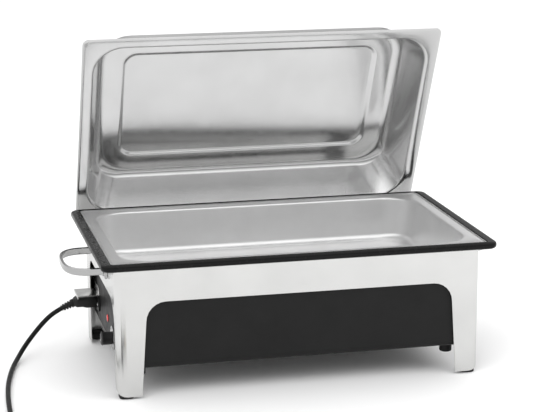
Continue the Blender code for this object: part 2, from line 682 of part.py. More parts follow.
def drip_guard():
    """The bent plate that keeps drips off the supply connector."""
    thickness, reach = 0.0015, DRIP_GUARD_REACH
    lip, back = -0.0035, 0.012
    outline = [(0.0, back), (0.0, 0.0), (thickness - reach, 0.0), (thickness - reach, lip),
               (-reach, lip), (-reach, thickness), (-thickness, thickness), (-thickness, back)]
    guard = add_mesh("drip_guard", extrude_outline(outline, 2 * DRIP_GUARD_HALF_WIDTH), POLISHED_STEEL)
    place(guard, (WALL_X - GAP, DRIP_GUARD_Y + DRIP_GUARD_HALF_WIDTH, DRIP_GUARD_Z), (90, 0, 0))


# ---------------------------------------------------------------- handles

def handle_plan():
    """Plan of one side handle: foot, arm, bow, arm, foot. The first value is the way out of the side."""
    seat = GAP + HANDLE_THICKNESS / 2
    arm_y = HANDLE_HALF_Y
    corner = 0.0045
    foot_corner = arc((seat + corner, arm_y + corner), corner, 180, 270, steps=3)
    bow = []
    for step in range(19):
        across = math.sin(math.radians(90 - step * 10))
        bow.append((HANDLE_ARM + (HANDLE_REACH - HANDLE_ARM) * math.sqrt(max(1 - abs(across) ** 3.2, 0.0)),
                    arm_y * across))
    start = [(seat, HANDLE_FOOT_END)] + foot_corner
    return start + bow + [(out, -y) for out, y in reversed(start)]


def band_along(plan, thickness, half_height):
    """Sweep an upright strip with softened edges along a plan."""
    soft = 0.0009
    half = thickness / 2
    section = [(-half, -half_height + soft), (-half, half_height - soft), (-half + soft, half_height),
               (half - soft, half_height), (half, half_height - soft), (half, -half_height + soft),
               (half - soft, -half_height), (-half + soft, -half_height)]
    work_mesh = bmesh.new()
    rings = []
    for index, (x, y) in enumerate(plan):
        before = Vector(plan[max(index - 1, 0)])
        after = Vector(plan[min(index + 1, len(plan) - 1)])
        along = (after - before).normalized()
        normal = Vector((along.y, -along.x))
        rings.append([work_mesh.verts.new((x + normal.x * across, y + normal.y * across, up))
                      for across, up in section])
    for near, far in zip(rings, rings[1:]):
        for index in range(len(section)):
            after = (index + 1) % len(section)
            work_mesh.faces.new((near[index], near[after], far[after], far[index]))
    work_mesh.faces.new(rings[0])
    work_mesh.faces.new(rings[-1])
    return work_mesh


def side_handles():
    """The two bow handles, one on each side of the stand, each with two screws."""
    for name, side in (("left", -1), ("right", 1)):
        handle = add_mesh("handle_" + name, band_along(handle_plan(), HANDLE_THICKNESS, HANDLE_HALF_HEIGHT),
                          POLISHED_STEEL)
        place(handle, (side * STAND_HALF_X, 0, HANDLE_Z), (0, 0, 0 if side > 0 else 180))


# ---------------------------------------------------------------- lid and hinges

def lid_shell(axis):
    """The domed lid with its raised top panel and its hemmed flange."""
    top, flange = LID_DOME_TOP, LID_BOTTOM + LID_SHEET
    shoulder = arc((LID_SHOULDER_INSET, top - LID_SHOULDER_RADIUS), LID_SHOULDER_RADIUS,
                   90, 180 - math.degrees(LID_WALL_LEAN), steps=4)
    corner = LID_OPENING_CORNER
    upper = ([(LID_PANEL_INSET + LID_PANEL_STEP, top + LID_PANEL_RISE, 0.018),
              (LID_PANEL_INSET, top, 0.024)]
             + with_radius(shoulder, LID_SHOULDER_CORNER)
             + [(0.0175, flange + 0.0039, corner - 0.002), (0.0156, flange + 0.0011, corner - 0.001),
                (0.0130, flange, corner), (0.0050, flange, 0.012)])
    hem = [(0.0050, flange + 0.0009, 0.012), (0.0006, flange + 0.0009, 0.010),
           (0.0, flange + 0.0004, 0.010), (0.0, LID_BOTTOM, 0.010)]
    lower = offset_profile(upper, -LID_SHEET)
    loops = loops_from_profile(upper + hem + lower[::-1], LID_HALF_X, LID_HALF_Y, corner_steps=6)
    shell = add_mesh("lid_shell", loft(loops), STEEL, axis)
    place(shell, (0, -HINGE_Y, -HINGE_Z))


def lid_handle(axis):
    """The bow handle on the lid's top."""
    foot_z = LID_DOME_TOP + LID_PANEL_RISE + GAP
    top_z = foot_z + LID_HANDLE_RISE - LID_HANDLE_RADIUS
    bend = 0.014
    right_bend = arc((LID_HANDLE_HALF - bend, top_z - bend), bend, 0, 90, steps=5)
    half = [(LID_HANDLE_HALF, foot_z)] + right_bend
    path = half + [(-x, z) for x, z in reversed(half)]
    points = [(x, LID_HANDLE_Y - HINGE_Y, z - HINGE_Z) for x, z in path]
    add_tube("lid_handle", points, LID_HANDLE_RADIUS, POLISHED_STEEL, axis)


def hinge_arm(name, x, axis):
    """A bent strip from the lid's flange round the rim and down to the hinge pin."""
    thickness = ARM_THICKNESS
    back = RIM_HALF_Y + 0.005 - HINGE_Y
    top = LID_BOTTOM + LID_SHEET + 0.0009 + GAP - HINGE_Z
    barrel = arc((0, 0), BARREL_RADIUS, 270, -35.7, steps=14)
    outline = ([(-0.0055, top), (-0.0055, top + thickness), (back + thickness, top + thickness),
                (back + thickness, -BARREL_RADIUS)]
               + barrel + [(back, -BARREL_RADIUS + thickness), (back, top)])
    arm = add_mesh(name, extrude_outline(outline, 2 * ARM_HALF_WIDTH), STEEL, axis)
    place(arm, (x - ARM_HALF_WIDTH, 0, 0), (90, 0, 90))
    reach = 0.004
    cut_away(arm, extrude_outline(circle(PIN_RADIUS + GAP, 16), 2 * (ARM_HALF_WIDTH + reach)),
             (x - ARM_HALF_WIDTH - reach, 0, 0), (90, 0, 90))


def hinge_bracket(name, x):
    """A folded bracket on the rear sheet, with one cheek on each side of the lid's arm."""
    plate, cheek = 0.0015, CHEEK_THICKNESS
    inner = ARM_HALF_WIDTH + GAP
    outer = inner + cheek
    plate_half = 0.021
    seat = STAND_HALF_Y + GAP
    reach = HINGE_Y + 0.0068
    half = [(plate_half, seat), (plate_half, seat + plate), (outer, seat + plate), (outer, reach),
            (inner, reach), (inner, seat + plate)]
    outline = half + [(-across, y) for across, y in reversed(half)]
    height = 0.020
    bracket = add_mesh(name, extrude_outline(outline, height), STEEL)
    place(bracket, (x, 0, HINGE_Z - height / 2))
    cut_away(bracket, extrude_outline(circle(PIN_RADIUS + GAP, 16), 2 * plate_half),
             (x - plate_half, HINGE_Y, HINGE_Z), (90, 0, 90))


def hinge_pin(name, x):
    """A headed pin through the bracket's cheeks and the arm's barrel."""
    half_length = ARM_HALF_WIDTH + GAP + CHEEK_THICKNESS + GAP
    loops = [(circle(PIN_RADIUS + 0.0016, 16), -0.0012), (circle(PIN_RADIUS + 0.0016, 16), 0.0),
             (circle(PIN_RADIUS, 16), 0.0), (circle(PIN_RADIUS, 16), 2 * half_length + 0.0015)]
    pin = add_mesh(name, loft(loops), POLISHED_STEEL)
    place(pin, (x - half_length, HINGE_Y, HINGE_Z), (0, 90, 0))


def lid_and_hinges(axis):
    """Everything that swings with the lid, and the fixed half of its hinges."""
    lid_shell(axis)
    lid_handle(axis)
    for name, x in (("left", -HINGE_X), ("right", HINGE_X)):
        hinge_arm("hinge_arm_" + name, x, axis)
        hinge_bracket("hinge_bracket_" + name, x)
        hinge_pin("hinge_pin_" + name, x)


# ---------------------------------------------------------------- supply cord

def supply_connector():
    """The cord's appliance connector and its tapered strain relief."""
    nose_end_x = WALL_X + 0.0150
    front_x = WALL_X - 0.0035
    length = front_x - CONNECTOR_END_X
    nose = rounded_rectangle(0.0076, 0.0116, 0.003, 3)
    collar = rounded_rectangle(0.0078, 0.0135, 0.003, 3)
    waist = rounded_rectangle(0.0070, 0.0115, 0.004, 3)
    back = rounded_rectangle(0.0055, 0.0070, 0.004, 3)
    loops = [(nose, front_x - nose_end_x), (nose, 0.0), (collar, 0.0), (collar, length * 0.45),
             (waist, length * 0.62), (waist, length * 0.86), (back, length)]
    connector = add_mesh("cord_connector", loft(loops), BLACK_PLASTIC)
    place(connector, (front_x, INLET_Y, INLET_Z), (0, -90, 0))
    start = Vector((CONNECTOR_END_X - GAP - 0.0012, INLET_Y, INLET_Z - 0.0022))
    relief_mesh("connector_strain_relief", start, Vector(RELIEF_END), 0.0058, 0.0043)


def relief_mesh(name, start, end, start_radius, end_radius):
    """A ribbed sleeve that narrows from the moulding to the cord."""
    length = (end - start).length
    ribs = 5
    loops = []
    for rib in range(ribs):
        for share, groove in ((0.0, 0.0), (0.60, 0.0), (0.62, 0.0008), (0.98, 0.0008)):
            along = (rib + share) / ribs
            radius = start_radius + (end_radius - start_radius) * along - groove
            loops.append((circle(radius, 12), along * length))
    relief = add_mesh(name, loft(loops), BLACK_RUBBER)
    relief.location = start
    relief.rotation_euler = (end - start).to_track_quat("Z", "Y").to_euler()


def cord_and_coil():
    """The loose stretch of the cord, its stored coil and the coil's tie."""
    route = smooth_route(CORD_ROUTE, 0.0145)
    add_tube("cord_tube", route, CORD_RADIUS, BLACK_RUBBER, bevel_resolution=2)
    half = COIL_HALF_WIDTH
    middle = (COIL_LIFT + COIL_TOP) / 2
    section = rounded_rectangle(half, COIL_TOP - middle, CORD_RADIUS, corner_steps=2)
    loops = [(circle(COIL_RADIUS + across, 32), middle + up) for across, up in section]
    coil = add_mesh("cord_coil", loft(loops, closed_profile=True), BLACK_RUBBER)
    place(coil, (*COIL_CENTRE, 0))
    tie_bottom, tie_top, tie_half = 0.0001, COIL_TOP + 0.0011, 0.004
    tie_outer = rounded_rectangle(half + 0.0019, (tie_top - tie_bottom) / 2, CORD_RADIUS + 0.0008, 3)
    tie_inner = rounded_rectangle(half + 0.0010, (COIL_TOP - COIL_LIFT) / 2 + GAP, CORD_RADIUS, 3)
    tie_middle = (tie_top + tie_bottom) / 2
    shifted = [(across, up + middle - tie_middle) for across, up in tie_inner]
    tie_loops = [(tie_outer, -tie_half), (tie_outer, tie_half), (shifted, tie_half), (shifted, -tie_half)]
    tie = add_mesh("coil_tie", loft(tie_loops, closed_profile=True), BLACK_PLASTIC)
    place(tie, (COIL_CENTRE[0] + COIL_RADIUS, COIL_CENTRE[1], tie_middle), (90, 0, 0))


def mains_plug():
    """The round two-pin plug that lies beside the coil, with its strain relief."""
    axis_y = COIL_CENTRE[1] - COIL_RADIUS
    relief_length = 0.028
    start = Vector((PLUG_START_X, axis_y, PLUG_Z))
    relief_end = start + Vector((relief_length, 0, 0))
    relief_mesh("plug_strain_relief", relief_end, start, 0.0062, 0.0043)
    body_start = relief_end.x + GAP
    length = 0.035
    profile = ((0.0070, 0.0), (0.0110, 0.006), (0.0125, 0.014), (PLUG_RADIUS, 0.020),
               (PLUG_RADIUS, length - 0.001), (PLUG_RADIUS - 0.001, length))
    loops = [(circle(radius, 24), along) for radius, along in profile]
    plug = add_mesh("mains_plug", loft(loops), BLACK_PLASTIC)
    place(plug, (body_start, axis_y, PLUG_Z), (0, 90, 0))
    pin_start = body_start + length + GAP
    for name, side in (("plug_pin_front", -1), ("plug_pin_rear", 1)):
        pin_loops = [(circle(0.0024, 12), 0.0), (circle(0.0024, 12), 0.0175), (circle(0.0016, 12), 0.019)]
        pin = add_mesh(name, loft(pin_loops), BRASS)
        place(pin, (pin_start, axis_y + side * 0.0095, PLUG_Z), (0, 90, 0))


# ---------------------------------------------------------------- assembly

def build():
    """Make every piece, then put the origin under the middle of the outline."""
    clear_scene()
    stand()
    rim_frame()
    water_pan()
    food_pan()
    heater_housing()
    housing_bottom()
    heating_parts()
    knob_axis = add_axis("knob_axis", (WALL_X, KNOB_Y, KNOB_Z))
    thermostat(knob_axis)
    indicator_lamp()
    supply_inlet()
    drip_guard()
    side_handles()
    lid_axis = add_axis("lid_hinge_axis", (0, HINGE_Y, HINGE_Z))
    lid_and_hinges(lid_axis)
    lid_axis.rotation_euler = (-LID_REST_OPENING, 0, 0)
    supply_connector()
    cord_and_coil()
    mains_plug()
    bpy.context.view_layer.update()
    for piece in bpy.data.objects:
        if piece.parent is None:
            piece.location.y -= OUTLINE_MIDDLE_Y


build()
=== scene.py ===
"""Looks of the electric buffet server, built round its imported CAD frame. Lengths are in metres."""
import math

import bmesh
import bpy
from mathutils import Matrix, Vector


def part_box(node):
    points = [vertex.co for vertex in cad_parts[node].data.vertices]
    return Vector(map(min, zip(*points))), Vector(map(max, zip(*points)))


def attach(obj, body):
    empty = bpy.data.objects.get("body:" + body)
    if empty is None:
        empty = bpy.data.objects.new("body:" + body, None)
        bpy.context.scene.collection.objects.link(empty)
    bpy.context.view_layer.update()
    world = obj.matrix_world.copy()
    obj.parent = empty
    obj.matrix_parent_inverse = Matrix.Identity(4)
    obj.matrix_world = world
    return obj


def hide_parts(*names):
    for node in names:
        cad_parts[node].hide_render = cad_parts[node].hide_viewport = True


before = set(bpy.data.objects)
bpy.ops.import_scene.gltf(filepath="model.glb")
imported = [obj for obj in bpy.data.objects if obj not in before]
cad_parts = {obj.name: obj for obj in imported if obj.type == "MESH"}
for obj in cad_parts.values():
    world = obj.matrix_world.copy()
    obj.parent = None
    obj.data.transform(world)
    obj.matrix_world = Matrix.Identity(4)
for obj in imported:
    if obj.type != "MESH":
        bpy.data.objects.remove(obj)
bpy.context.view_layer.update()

# where the middle of the food pan lies along Y
PAN_LOW, PAN_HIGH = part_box("food_pan")
MIDDLE_Y = (PAN_LOW[1] + PAN_HIGH[1]) / 2

# camera
CAMERA_PLACE = (-0.590, -2.451 + MIDDLE_Y, 0.817)
CAMERA_YAW = 13.21
CAMERA_PITCH = 13.20
CAMERA_ROLL = -0.13
CAMERA_LENS = 119.6
SENSOR_WIDTH = 36.0

# studio
GLOSSY_BOUNCES = 10              # the open lid and the pan mirror each other many times
FLOOR_HALF = 30
FLOOR_Z = -0.0002
FLOOR_COLOUR = (0.92, 0.92, 0.92)
FLOOR_IN_REFLECTIONS = (0.66, 0.66, 0.66)
SURROUND_COLOUR = (0.95, 0.95, 0.95)
SURROUND_IN_REFLECTIONS = (
    # height, where 0 is straight down and 1 is straight up, then grey
    (0.00, 0.80),
    (0.50, 1.00),
    (0.53, 0.60),
    (0.57, 0.28),
    (0.64, 0.42),
    (0.74, 0.90),
    (0.86, 1.35),
    (1.00, 1.35),
)
AREA_LIGHTS = (
    # name, place, target, width and height, power in watts
    ("key_light", (-1.6, -2.2, 2.6), (0, 0, 0.1), (2.4, 1.6), 30),
    ("fill_light", (2.2, -1.8, 1.6), (0, 0, 0.1), (2.0, 2.0), 15),
    ("back_light", (0.6, 2.4, 1.4), (0, 0, 0.2), (2.0, 1.2), 10),
)
SKY_STRENGTH = 0.8
SKY_SPREAD = math.radians(120)

# lid and its hinge
LID_OPENING = math.radians(64)
HINGE_Y = 0.164 + MIDDLE_Y
HINGE_Z = 0.152
LID_HALF_X = 0.270
LID_HALF_Y = 0.168
LID_BOTTOM = 0.1973
LID_SHEET = 0.0010
LID_DOME_TOP = 0.266
LID_WALL_LEAN = math.radians(17)
LID_PANEL_INSET = 0.0705
LID_PANEL_STEP = 0.0075          # width of the slope round the raised panel
LID_SHOULDER_RADIUS = 0.016
LID_SHOULDER_INSET = 0.0488      # to the middle of the shoulder's arc
LID_SHOULDER_CORNER = 0.045
LID_OPENING_CORNER = 0.048
LID_PANEL_RISE = 0.003
LID_HANDLE_Y = -0.066
LID_HANDLE_HALF = 0.055
LID_HANDLE_LOW = 0.2693
LID_HANDLE_TOP = 0.3003
LID_HANDLE_BEND = 0.014
LID_HANDLE_RADIUS = 0.005

# food pan
PAN_SHEET = 0.0009
PAN_FLOOR_INSET = 0.033          # from the flange's edge to where the floor's bend starts
PAN_FLOOR_RADIUS = 0.012
PAN_FLOOR_CORNER = 0.040
PAN_LIP_INSET = 0.0119
PAN_LIP_RADIUS = 0.0034
PAN_OPENING_CORNER = 0.047
PAN_FLANGE_CORNER = 0.009

# rim
RIM_TOP = 0.197
RIM_BOTTOM = 0.186
RIM_EDGE = 0.005
RIM_CORNER = 0.012
RIM_STEP_HALF_X = 0.2686
RIM_STEP_HALF_Y = 0.1661
RIM_STEP_CORNER = 0.006
RIM_LEDGE = 0.1923
RIM_HOLE_HALF_X = 0.2560
RIM_HOLE_HALF_Y = 0.1516
RIM_HOLE_CORNER = 0.019

# screws, dial and knob
STAND_HALF_X = 0.262
SCREW_STAND_OFF = 0.0043         # the handle's thickness and the gap behind it
SCREW_RADIUS = 0.0034
SCREW_FROM_END = 0.011
DIAL_START = 225                 # degrees, for the first mark and the pointer
DIAL_SPACING = 27
DIAL_MARKS = 11
DIAL_MARK_RADIUS = 0.0144
LONG_MARK = 0.0034
SHORT_MARK = 0.0022

# supply cord
CORD_RADIUS = 0.0035
CORD_FLOOR_Z = CORD_RADIUS + 0.0004
CORD_ROUTE = (
    (-0.3073, 0.0920, 0.0653),
    (-0.3215, 0.0912, 0.0575),
    (-0.3354, 0.0880, 0.0467),
    (-0.3512, 0.0800, 0.0321),
    (-0.3658, 0.0670, 0.0188),
    (-0.3781, 0.0470, 0.0085),
    (-0.3898, 0.0120, CORD_FLOOR_Z),
    (-0.3992, -0.0370, CORD_FLOOR_Z),
    (-0.4052, -0.0830, CORD_FLOOR_Z),
    (-0.4087, -0.1280, CORD_FLOOR_Z),
    (-0.4107, -0.1740, CORD_FLOOR_Z),
    (-0.4122, -0.2200, CORD_FLOOR_Z),
    (-0.4132, -0.2520, CORD_FLOOR_Z),
    (-0.4146, -0.2850, CORD_FLOOR_Z + 0.0006),
)
RELIEF_START = (-0.2915, 0.0920, 0.0718)
RELIEF_END = (-0.3070, 0.0920, 0.0655)
RELIEF_RIBS = 4
RELIEF_WIDE = 0.0064
RELIEF_NARROW = 0.0051
RELIEF_GROOVE = 0.0017
RELIEF_SUNK = 0.0030             # how far it reaches into the connector
RELIEF_RIB = (
    # share of a rib's length, share of the groove's depth
    (0.00, 0.15),
    (0.08, 0.0),
    (0.50, 0.0),
    (0.58, 0.15),
    (0.64, 1.0),
    (0.94, 1.0),
)
ON_THE_CORD = (
    # node, material, slot, bevel
    ("cord_connector", "plastic", "black_plastic", 0.0006),
    ("coil_tie", "plastic", "black_plastic", 0.0002),
    ("plug_strain_relief", "rubber", "rubber", 0.00015),
    ("mains_plug", "plastic", "black_plastic", 0.0007),
    ("plug_pin_front", "brass", "brass", 0.0003),
    ("plug_pin_rear", "brass", "brass", 0.0003),
)
COIL_MIDDLE = (-0.373, -0.315)
COIL_INNER = 0.0355
COIL_OUTER = 0.0425
COIL_FIRST_Z = 0.0013 + CORD_RADIUS
COIL_PLACES = (
    # radius and row of each turn
    (COIL_OUTER, 0),
    (COIL_INNER, 0),
    (COIL_INNER, 1),
    (COIL_OUTER, 1),
    (COIL_OUTER, 2),
)
COIL_FIRST_CHANGE = 280          # the coil's angles are in degrees along the cord
COIL_CHANGE_EVERY = 320
COIL_CHANGE_LENGTH = 40
COIL_TRAVEL = 1530
COIL_STEP = 10
PLUG_Z = 0.0185
PLUG_START_X = COIL_MIDDLE[0] + 0.031


# ---------------------------------------------------------------- camera, light, floor

def make_camera():
    """A long lens, a little above the rim and to the left."""
    data = bpy.data.cameras.new("camera")
    data.sensor_width = SENSOR_WIDTH
    data.lens = CAMERA_LENS
    data.clip_end = 60
    camera = bpy.data.objects.new("camera", data)
    turn = (Matrix.Rotation(math.radians(-CAMERA_YAW), 4, "Z")
            @ Matrix.Rotation(math.radians(90 - CAMERA_PITCH), 4, "X")
            @ Matrix.Rotation(math.radians(CAMERA_ROLL), 4, "Z"))
    camera.matrix_world = Matrix.Translation(CAMERA_PLACE) @ turn
    bpy.context.scene.collection.objects.link(camera)
    bpy.context.scene.camera = camera


def add_area_light(name, place, target, size, power):
    """A soft rectangular light aimed at a point. The steel doesn't mirror it."""
    data = bpy.data.lights.new(name, "AREA")
    data.shape = "RECTANGLE"
    data.size, data.size_y = size
    data.energy = power
    light = bpy.data.objects.new(name, data)
    light.location = place
    light.rotation_euler = (Vector(target) - Vector(place)).to_track_quat("-Z", "Y").to_euler()
    light.visible_glossy = False
    bpy.context.scene.collection.objects.link(light)


def make_surround():
    """An even white surround. Reflections see it darker near the horizon and brighter overhead."""
    world = bpy.data.worlds.new("studio")
    bpy.context.scene.world = world
    world.use_nodes = True
    tree = world.node_tree
    background = tree.nodes["Background"]
    where = tree.nodes.new("ShaderNodeTexCoord")
    split = tree.nodes.new("ShaderNodeSeparateXYZ")
    tree.links.new(where.outputs["Generated"], split.inputs[0])
    height = tree.nodes.new("ShaderNodeValToRGB")
    set_ramp(height, [(share, (grey, grey, grey)) for share, grey in SURROUND_IN_REFLECTIONS])
    tree.links.new(map_range(tree, split.outputs["Z"], 0.0, 1.0, -1.0, 1.0), height.inputs["Fac"])
    ray = tree.nodes.new("ShaderNodeLightPath")
    mix = tree.nodes.new("ShaderNodeMix")
    mix.data_type = "RGBA"
    tree.links.new(ray.outputs["Is Glossy Ray"], mix.inputs["Factor"])
    mix.inputs["A"].default_value = (*SURROUND_COLOUR, 1.0)
    tree.links.new(height.outputs["Color"], mix.inputs["B"])
    tree.links.new(mix.outputs["Result"], background.inputs["Color"])
    background.inputs["Strength"].default_value = 1.0


def make_floor():
    """A plain pale floor. Reflections see it in a darker grey."""
    mesh = bpy.data.meshes.new("floor")
    corners = [(-FLOOR_HALF, -FLOOR_HALF, 0), (FLOOR_HALF, -FLOOR_HALF, 0),
               (FLOOR_HALF, FLOOR_HALF, 0), (-FLOOR_HALF, FLOOR_HALF, 0)]
    mesh.from_pydata(corners, [], [(0, 1, 2, 3)])
    floor = bpy.data.objects.new("floor", mesh)
    floor.location.z = FLOOR_Z
    bpy.context.scene.collection.objects.link(floor)
    paint = new_material("floor_paint")
    shader = set_shader(paint, FLOOR_COLOUR, 0.7, 0.0)
    tree = paint.node_tree
    ray = tree.nodes.new("ShaderNodeLightPath")
    seen = two_colours(tree, ray.outputs["Is Glossy Ray"], FLOOR_COLOUR, FLOOR_IN_REFLECTIONS)
    tree.links.new(seen, shader.inputs["Base Color"])
    mesh.materials.append(paint)


def make_lights():
    """Three soft area lights and a wide light from above. The steel mirrors none of them."""
    for name, place, target, size, power in AREA_LIGHTS:
        add_area_light(name, place, target, size, power)
    sky = bpy.data.lights.new("sky_light", "SUN")
    sky.energy = SKY_STRENGTH
    sky.angle = SKY_SPREAD
    sky_light = bpy.data.objects.new("sky_light", sky)
    sky_light.visible_glossy = False
    bpy.context.scene.collection.objects.link(sky_light)


def make_studio():
    """The surround, the floor and the lights, shown with plain whites."""
    bpy.context.scene.view_settings.view_transform = "Standard"
    bpy.context.scene.cycles.glossy_bounces = GLOSSY_BOUNCES
    make_surround()
    make_floor()
    make_lights()


# ---------------------------------------------------------------- materials

def new_material(name):
    """An empty node material with its Principled shader."""
    material = bpy.data.materials.new(name)
    material.use_nodes = True
    return material


def set_shader(material, colour, roughness, metallic):
    """Constant values on the material's shader. Returns the shader node."""
    shader = material.node_tree.nodes["Principled BSDF"]
    shader.inputs["Base Color"].default_value = (*colour, 1.0)
    shader.inputs["Roughness"].default_value = roughness
    shader.inputs["Metallic"].default_value = metallic
    return shader


def set_ramp(ramp_node, stops):
    """Fill a colour ramp from (position, colour) pairs."""
    ramp = ramp_node.color_ramp
    while len(ramp.elements) < len(stops):
        ramp.elements.new(0.5)
    for element, (position, colour) in zip(ramp.elements, stops):
        element.position = position
        element.color = (*colour, 1.0)


def noise(tree, scale, detail=4.0, stretch=(1, 1, 1), roughness=0.55):
    """A noise texture in the object's own space, stretched along its axes."""
    where = tree.nodes.new("ShaderNodeTexCoord")
    mapping = tree.nodes.new("ShaderNodeMapping")
    mapping.inputs["Scale"].default_value = stretch
    texture = tree.nodes.new("ShaderNodeTexNoise")
    texture.inputs["Scale"].default_value = scale
    texture.inputs["Detail"].default_value = detail
    texture.inputs["Roughness"].default_value = roughness
    tree.links.new(where.outputs["Object"], mapping.inputs["Vector"])
    tree.links.new(mapping.outputs["Vector"], texture.inputs["Vector"])
    return texture.outputs["Fac"]


def map_range(tree, value, low, high, from_low=0.3, from_high=0.7):
    """Spread a range of a value, by default a texture's middle range, over two given values."""
    node = tree.nodes.new("ShaderNodeMapRange")
    node.inputs["From Min"].default_value = from_low
    node.inputs["From Max"].default_value = from_high
    node.inputs["To Min"].default_value = low
    node.inputs["To Max"].default_value = high
    tree.links.new(value, node.inputs["Value"])
    return node.outputs["Result"]


def two_colours(tree, value, first, second):
    """Mix two colours by a value."""
    mix = tree.nodes.new("ShaderNodeMix")
    mix.data_type = "RGBA"
    mix.inputs["A"].default_value = (*first, 1.0)
    mix.inputs["B"].default_value = (*second, 1.0)
    tree.links.new(map_range(tree, value, 0.0, 1.0), mix.inputs["Factor"])
    return mix.outputs["Result"]


def add_bump(tree, shader, height, distance, strength=1.0):
    """Feed a height texture to the shader's normal, after any bump that is already there."""
    bump = tree.nodes.new("ShaderNodeBump")
    bump.inputs["Distance"].default_value = distance
    bump.inputs["Strength"].default_value = strength
    tree.links.new(height, bump.inputs["Height"])
    earlier = shader.inputs["Normal"].links
    if earlier:
        tree.links.new(earlier[0].from_socket, bump.inputs["Normal"])
    tree.links.new(bump.outputs["Normal"], shader.inputs["Normal"])


def steel(name, colour, roughness, spread, grain=(1, 1, 1), grain_scale=700, grain_height=0.000004):
    """Bare metal: fine brushed lines, faint clouding, handling marks and a slight waviness."""
    material = new_material(name)
    tree = material.node_tree
    shader = set_shader(material, colour, roughness, 1.0)
    clouds = noise(tree, 14, detail=3)
    dark = tuple(channel * 0.93 for channel in colour)
    tree.links.new(two_colours(tree, clouds, dark, colour), shader.inputs["Base Color"])
    marks = noise(tree, 60, detail=6, roughness=0.7)
    varied = map_range(tree, marks, roughness - spread, roughness + spread)
    tree.links.new(varied, shader.inputs["Roughness"])
    lines = noise(tree, grain_scale, detail=2, stretch=grain)
    add_bump(tree, shader, lines, grain_height)
    add_bump(tree, shader, noise(tree, 5, detail=1), 0.0004, 0.10)
    return material


def enamel(name, colour, roughness, peel, shine):
    """Baked paint: a fine orange-peel surface with faint rub marks."""
    material = new_material(name)
    tree = material.node_tree
    shader = set_shader(material, colour, roughness, 0.0)
    shader.inputs["Specular IOR Level"].default_value = shine
    rubbed = tuple(channel * 1.15 + 0.0005 for channel in colour)
    rubs = two_colours(tree, noise(tree, 30, detail=6), colour, rubbed)
    tree.links.new(rubs, shader.inputs["Base Color"])
    tree.links.new(map_range(tree, noise(tree, 90, detail=5), roughness - 0.06, roughness + 0.08),
                   shader.inputs["Roughness"])
    add_bump(tree, shader, noise(tree, 900, detail=2), peel)
    return material


def moulded(name, colour, roughness, texture_height=0.00004, texture_scale=1800, shine=0.30):
    """Moulded plastic or rubber: a fine matt texture, lightly scuffed."""
    material = new_material(name)
    tree = material.node_tree
    shader = set_shader(material, colour, roughness, 0.0)
    shader.inputs["Specular IOR Level"].default_value = shine
    scuffed = tuple(channel * 1.5 + 0.002 for channel in colour)
    scuffs = two_colours(tree, noise(tree, 45, detail=6), colour, scuffed)
    tree.links.new(scuffs, shader.inputs["Base Color"])
    tree.links.new(map_range(tree, noise(tree, 120), roughness - 0.07, roughness + 0.07),
                   shader.inputs["Roughness"])
    add_bump(tree, shader, noise(tree, texture_scale, detail=2), texture_height)
    return material


def lens_material():
    """Red lamp lens: clear-coated plastic with a fine moulded texture."""
    material = moulded("lens_red", (0.62, 0.012, 0.010), 0.22, 0.00006, 900)
    shader = material.node_tree.nodes["Principled BSDF"]
    shader.inputs["Coat Weight"].default_value = 0.5
    return material


def make_materials():
    """Every material of the object, by name."""
    return {
        "sheet": steel("stand_steel", (0.84, 0.84, 0.83), 0.22, 0.04, grain=(0.03, 1, 1), grain_scale=900),
        "lid": steel("lid_steel", (0.72, 0.72, 0.72), 0.17, 0.03, grain=(1, 1, 1), grain_scale=500,
                     grain_height=0.0000008),
        "pan": steel("pan_steel", (0.88, 0.88, 0.88), 0.36, 0.05, grain=(0.05, 1, 1), grain_scale=800,
                     grain_height=0.000003),
        "polished": steel("polished_steel", (0.52, 0.52, 0.52), 0.09, 0.02, grain_scale=400,
                          grain_height=0.000001),
        "dark_chrome": steel("dark_chrome", (0.16, 0.16, 0.16), 0.14, 0.03),
        "pins": steel("turned_steel", (0.66, 0.66, 0.66), 0.28, 0.05),
        "rim": enamel("rim_black", (0.006, 0.006, 0.006), 0.24, 0.000001, 0.16),
        "housing": enamel("housing_black", (0.010, 0.010, 0.010), 0.45, 0.000020, 0.20),
        "rubber": moulded("rubber_black", (0.010, 0.010, 0.010), 0.60),
        "cord": moulded("cord_black", (0.006, 0.006, 0.006), 0.40, 0.00001, shine=0.14),
        "plastic": moulded("plastic_black", (0.010, 0.010, 0.010), 0.40),
        "marks": moulded("dial_marks_black", (0.03, 0.03, 0.03), 0.55),
        "pointer": moulded("pointer_white", (0.75, 0.75, 0.74), 0.45),
        "ceramic": moulded("terminal_ceramic", (0.78, 0.76, 0.70), 0.55),
        "brown": moulded("wire_brown", (0.20, 0.09, 0.04), 0.45),
        "blue": moulded("wire_blue", (0.04, 0.10, 0.42), 0.45),
        "brass": steel("brass", (0.76, 0.56, 0.26), 0.25, 0.06),
        "copper": steel("copper", (0.78, 0.42, 0.28), 0.34, 0.08),
        "element": steel("element_tube", (0.20, 0.18, 0.17), 0.48, 0.08),
        "aluminised": steel("aluminised_sheet", (0.62, 0.63, 0.64), 0.42, 0.08),
        "lens": lens_material(),
    }


# ---------------------------------------------------------------- mesh helpers

def rounded_rectangle(half_x, half_y, radius, corner_steps=10):
    """Points round a rectangle with round corners."""
    points = []
    for corner, (side_x, side_y) in enumerate(((1, 1), (-1, 1), (-1, -1), (1, -1))):
        for step in range(corner_steps + 1):
            angle = (corner + step / corner_steps) * math.pi / 2
            points.append((side_x * (half_x - radius) + radius * math.cos(angle),
                           side_y * (half_y - radius) + radius * math.sin(angle)))
    return points


def arc(centre, radius, start_degrees, end_degrees, steps=8):
    """Points along an arc."""
    points = []
    for step in range(steps + 1):
        angle = math.radians(start_degrees + (end_degrees - start_degrees) * step / steps)
        points.append((centre[0] + radius * math.cos(angle), centre[1] + radius * math.sin(angle)))
    return points


